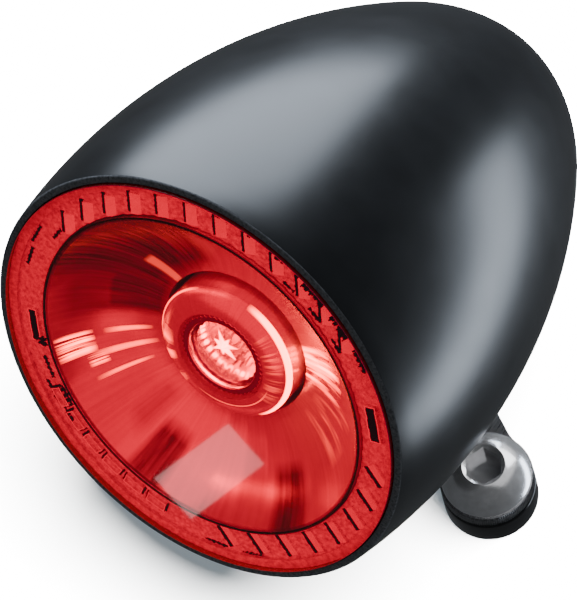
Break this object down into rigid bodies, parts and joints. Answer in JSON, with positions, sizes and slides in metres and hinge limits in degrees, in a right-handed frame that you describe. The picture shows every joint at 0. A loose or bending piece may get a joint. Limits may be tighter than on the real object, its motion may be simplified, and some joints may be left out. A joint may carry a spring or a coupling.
{
  "type": "motorcycle tail light",
  "caption": "Bullet-shaped motorcycle tail light with a red lens and light ring, on a short clamping arm that swivels about its screw and lets the lamp tilt.",
  "frame": {"origin": "middle of the spacer's lower face, the face the light is clamped against", "axes": "+Z along the clamp screw towards its head; the lens faces -Y and upward at rest; +X to the side of the clamp screw away from the lamp"},
  "size_m": [0.0552, 0.071, 0.0734],
  "materials": {
    "satin_black": "satin powder coat with a fine texture",
    "red_lens": "clear red polycarbonate, polished",
    "black_rubber": "matt",
    "clear_silicone": "translucent silicone, moulded",
    "red_prism": "clear moulded acrylic with prism cuts",
    "board_white": "white solder mask",
    "led_amber": "cast silicone",
    "spring_steel": "oiled spring steel",
    "reflector_plating": "vacuum plated, bright",
    "hub_plating": "vacuum plated, bright",
    "clear_optic": "polished acrylic",
    "grey_pad": "soft, matt",
    "bare_aluminium": "turned",
    "zinc_steel": "zinc plated",
    "board_green": "green solder mask",
    "ferrite": "sintered ferrite",
    "capacitor_can": "drawn can",
    "chip_black": "moulded epoxy",
    "terminal_plastic": "moulded nylon",
    "washer_nylon": "moulded nylon",
    "polished_steel": "polished stainless steel",
    "bronze": "sintered bronze",
    "black_spacer": "black anodised, smooth"
  },
  "bodies": {
    "mount": {"spacer": "black_spacer", "clamp_screw": "polished_steel"},
    "arm": {"arm": "polished_steel", "pivot_bush": "bronze"},
    "lamp": {"housing": "satin_black", "lens": "red_lens", "lens_seal": "clear_silicone", "light_ring": "red_prism", "ring_board": "board_white", "ring_leds": "led_amber", "snap_ring": "spring_steel", "reflector": "reflector_plating", "hub": "hub_plating", "centre_optic": "clear_optic", "optic_ring": "hub_plating", "led_emitter": "led_amber", "led_board": "board_white", "thermal_pad": "grey_pad", "heat_sink": "bare_aluminium", "board_screws": "zinc_steel", "driver_board": "board_green", "driver_screws": "zinc_steel", "choke": "ferrite", "capacitors": "capacitor_can", "driver_chips": "chip_black", "lead_terminal": "terminal_plastic", "cable_grommet": "black_rubber", "pivot_screw": "zinc_steel", "thrust_washer": "washer_nylon", "spring_washer": "spring_steel"}
  },
  "joints": [
    {"name": "swivel", "type": "hinge", "parent": "mount", "child": "arm", "pos_m": [0, 0, 0], "axis": [0, 0, 1], "continuous": true},
    {"name": "tilt", "type": "hinge", "parent": "arm", "child": "lamp", "pos_m": [-0.0115, 0.0069, 0.0163], "axis": [1, 0, 0], "range_deg": [-30, 30]}
  ]
}
